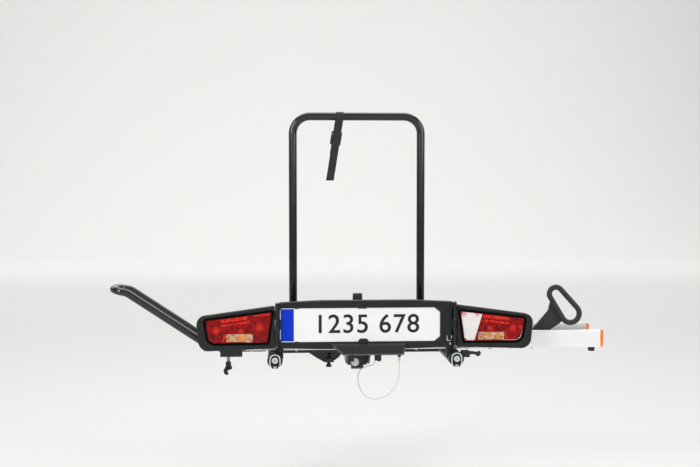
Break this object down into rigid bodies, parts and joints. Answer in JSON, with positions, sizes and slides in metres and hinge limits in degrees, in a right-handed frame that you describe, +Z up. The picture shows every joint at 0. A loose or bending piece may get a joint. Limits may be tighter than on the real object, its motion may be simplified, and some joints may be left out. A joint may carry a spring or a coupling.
{
  "type": "towbar motorcycle carrier",
  "caption": "Towbar-mounted carrier for one motorcycle: wheel channel, wheel bar and ring, support arch, folding light board and tilting clamp coupling.",
  "frame": {"origin": "centre of the tow ball that the coupling holds", "axes": "+X across the car to the right as seen from behind it, +Y forwards to the car, +Z up"},
  "size_m": [1.6395, 0.496, 0.9692],
  "materials": {
    "black_steel": "satin black paint",
    "zinc": "bright zinc plate",
    "channel_aluminium": "anodised, fine grooves",
    "orange_plastic": "moulded orange",
    "black_plastic": "fine moulded grain",
    "grey_plastic": "plain bearing plastic",
    "red_lens": "clear red plastic",
    "clear_lens": "clear plastic",
    "amber_lens": "ribbed amber plastic",
    "reflector": "metallised plastic",
    "plate_white": "white reflective sheet",
    "rubber": "matte",
    "webbing": "flat woven webbing",
    "white_coating": "plastic-coated wire rope"
  },
  "bodies": {
    "coupling": {"coupling_head": "black_steel", "coupling_side_plates": "black_steel", "coupling_pins": "zinc"},
    "clamp_lever": {"clamp_lever": "black_steel", "clamp_lever_grip": "black_plastic"},
    "clamp_jaw": {"clamp_jaw": "black_steel", "jaw_bolt": "zinc"},
    "platform": {"frame_tubes": "black_steel", "tube_caps": "black_plastic", "front_beam": "black_steel", "rear_beam": "black_steel", "hinge_block": "black_steel", "tilt_bushes": "grey_plastic", "rubber_pads": "rubber", "wheel_channel": "channel_aluminium", "channel_end_caps": "orange_plastic", "channel_bolts": "zinc", "light_board": "black_plastic", "board_posts": "black_steel", "number_plate": "plate_white", "plate_clips": "black_plastic", "wing_pins": "zinc", "hoop_bracket": "black_steel", "ring_bracket": "black_steel", "ring_pivot_bolt": "zinc", "arch_sockets": "black_steel", "release_brackets": "black_steel", "safety_cable": "white_coating"},
    "pedal": {"pedal_cover": "black_plastic"},
    "release_rod": {"release_rod": "zinc"},
    "tilt_pawl": {"tilt_pawl": "zinc"},
    "wing_left": {"wing_frame_left": "black_plastic", "wing_back_shell_left": "black_plastic", "lens_inner_left": "red_lens", "lens_red_left": "red_lens", "lens_window_left": "amber_lens", "reflector_tray_left": "reflector"},
    "wing_right": {"wing_frame_right": "black_plastic", "wing_back_shell_right": "black_plastic", "lens_inner_right": "clear_lens", "lens_red_right": "red_lens", "lens_window_right": "amber_lens", "reflector_tray_right": "reflector"},
    "lock_plug_left": {"lock_plug_left": "black_plastic"},
    "lock_plug_right": {"lock_plug_right": "black_plastic"},
    "lock_ring_left": {"lock_ring_left": "zinc"},
    "lock_ring_right": {"lock_ring_right": "zinc"},
    "side_lever": {"side_lever": "black_steel"},
    "front_bar": {"front_wheel_bar": "black_steel", "bar_end_plugs": "black_plastic"},
    "clamp_screw": {"hoop_clamp_screw": "zinc"},
    "ring_arm": {"ring_arm": "black_steel", "rear_wheel_ring": "rubber"},
    "arch": {"support_arch": "black_steel", "strap_webbing": "webbing", "strap_buckle": "black_plastic"},
    "arch_knob_left": {"arch_knob_left": "black_plastic"},
    "arch_knob_right": {"arch_knob_right": "black_plastic"},
    "levelling_screw": {"levelling_screw": "zinc"}
  },
  "joints": [
    {"name": "platform_tilt", "type": "hinge", "parent": "coupling", "child": "platform", "pos_m": [0, -0.092, 0.04], "axis": [1, 0, 0], "range_deg": [0, 40]},
    {"name": "clamp_lever_turn", "type": "hinge", "parent": "coupling", "child": "clamp_lever", "pos_m": [0, -0.03, 0.06], "axis": [-1, 0, 0], "range_deg": [0, 70]},
    {"name": "clamp_jaw_turn", "type": "hinge", "parent": "coupling", "child": "clamp_jaw", "pos_m": [0, -0.033, 0.024], "axis": [-1, 0, 0], "range_deg": [0, 12.1]},
    {"name": "pedal_press", "type": "hinge", "parent": "platform", "child": "pedal", "pos_m": [0, -0.416, 0.084], "axis": [1, 0, 0], "range_deg": [0, 12], "stiffness_Nm_per_rad": 4, "springref_deg": -11.46},
    {"name": "release_rod_slide", "type": "slide", "parent": "platform", "child": "release_rod", "axis": [0, 1, 0], "range_m": [0, 0.006]},
    {"name": "tilt_pawl_turn", "type": "hinge", "parent": "platform", "child": "tilt_pawl", "pos_m": [0.043, -0.17, 0.078], "axis": [1, 0, 0], "range_deg": [0, 15.6]},
    {"name": "wing_left_fold", "type": "hinge", "parent": "platform", "child": "wing_left", "pos_m": [-0.288, -0.441, 0.17], "axis": [0, 0, 1], "range_deg": [0, 150]},
    {"name": "wing_right_fold", "type": "hinge", "parent": "platform", "child": "wing_right", "pos_m": [0.288, -0.441, 0.17], "axis": [0, 0, -1], "range_deg": [0, 150]},
    {"name": "side_lever_turn", "type": "hinge", "parent": "platform", "child": "side_lever", "pos_m": [0.33, -0.429, 0.077], "axis": [0, 1, 0], "range_deg": [0, 60]},
    {"name": "front_bar_slide", "type": "slide", "parent": "platform", "child": "front_bar", "axis": [-1, 0, 0], "range_m": [0, 0.1]},
    {"name": "clamp_screw_turn", "type": "hinge", "parent": "platform", "child": "clamp_screw", "pos_m": [-0.449, -0.337, 0.04], "axis": [0, 0, 1], "continuous": true},
    {"name": "ring_arm_swing", "type": "hinge", "parent": "platform", "child": "ring_arm", "pos_m": [0.56, -0.352, 0.113], "axis": [0, 1, 0], "range_deg": [-20, 25]},
    {"name": "arch_lift", "type": "slide", "parent": "platform", "child": "arch", "axis": [0, 0, 1], "range_m": [0, 0.09]},
    {"name": "levelling_screw_turn", "type": "hinge", "parent": "platform", "child": "levelling_screw", "pos_m": [-0.108, -0.14, 0.01], "axis": [0, 0, 1], "continuous": true},
    {"name": "lock_plug_left_turn", "type": "hinge", "parent": "platform", "child": "lock_plug_left", "pos_m": [-0.295, -0.432, 0.058], "axis": [0, 1, 0], "range_deg": [0, 90]},
    {"name": "lock_ring_left_fold", "type": "hinge", "parent": "lock_plug_left", "child": "lock_ring_left", "pos_m": [-0.295, -0.4415, 0.039], "axis": [1, 0, 0], "range_deg": [0, 90]},
    {"name": "arch_knob_left_turn", "type": "hinge", "parent": "platform", "child": "arch_knob_left", "pos_m": [-0.232, -0.14, 0.19], "axis": [-1, 0, 0], "continuous": true},
    {"name": "lock_plug_right_turn", "type": "hinge", "parent": "platform", "child": "lock_plug_right", "pos_m": [0.295, -0.432, 0.058], "axis": [0, 1, 0], "range_deg": [0, 90]},
    {"name": "lock_ring_right_fold", "type": "hinge", "parent": "lock_plug_right", "child": "lock_ring_right", "pos_m": [0.295, -0.4415, 0.039], "axis": [1, 0, 0], "range_deg": [0, 90]},
    {"name": "arch_knob_right_turn", "type": "hinge", "parent": "platform", "child": "arch_knob_right", "pos_m": [0.214, -0.14, 0.19], "axis": [1, 0, 0], "continuous": true}
  ],
  "couplings": [
    {"joint": "clamp_jaw_turn", "follows": "clamp_lever_turn", "ratio": 0.1714},
    {"joint": "release_rod_slide", "follows": "pedal_press", "m_per_rad": 0.028},
    {"joint": "tilt_pawl_turn", "follows": "pedal_press", "ratio": 1.29}
  ]
}
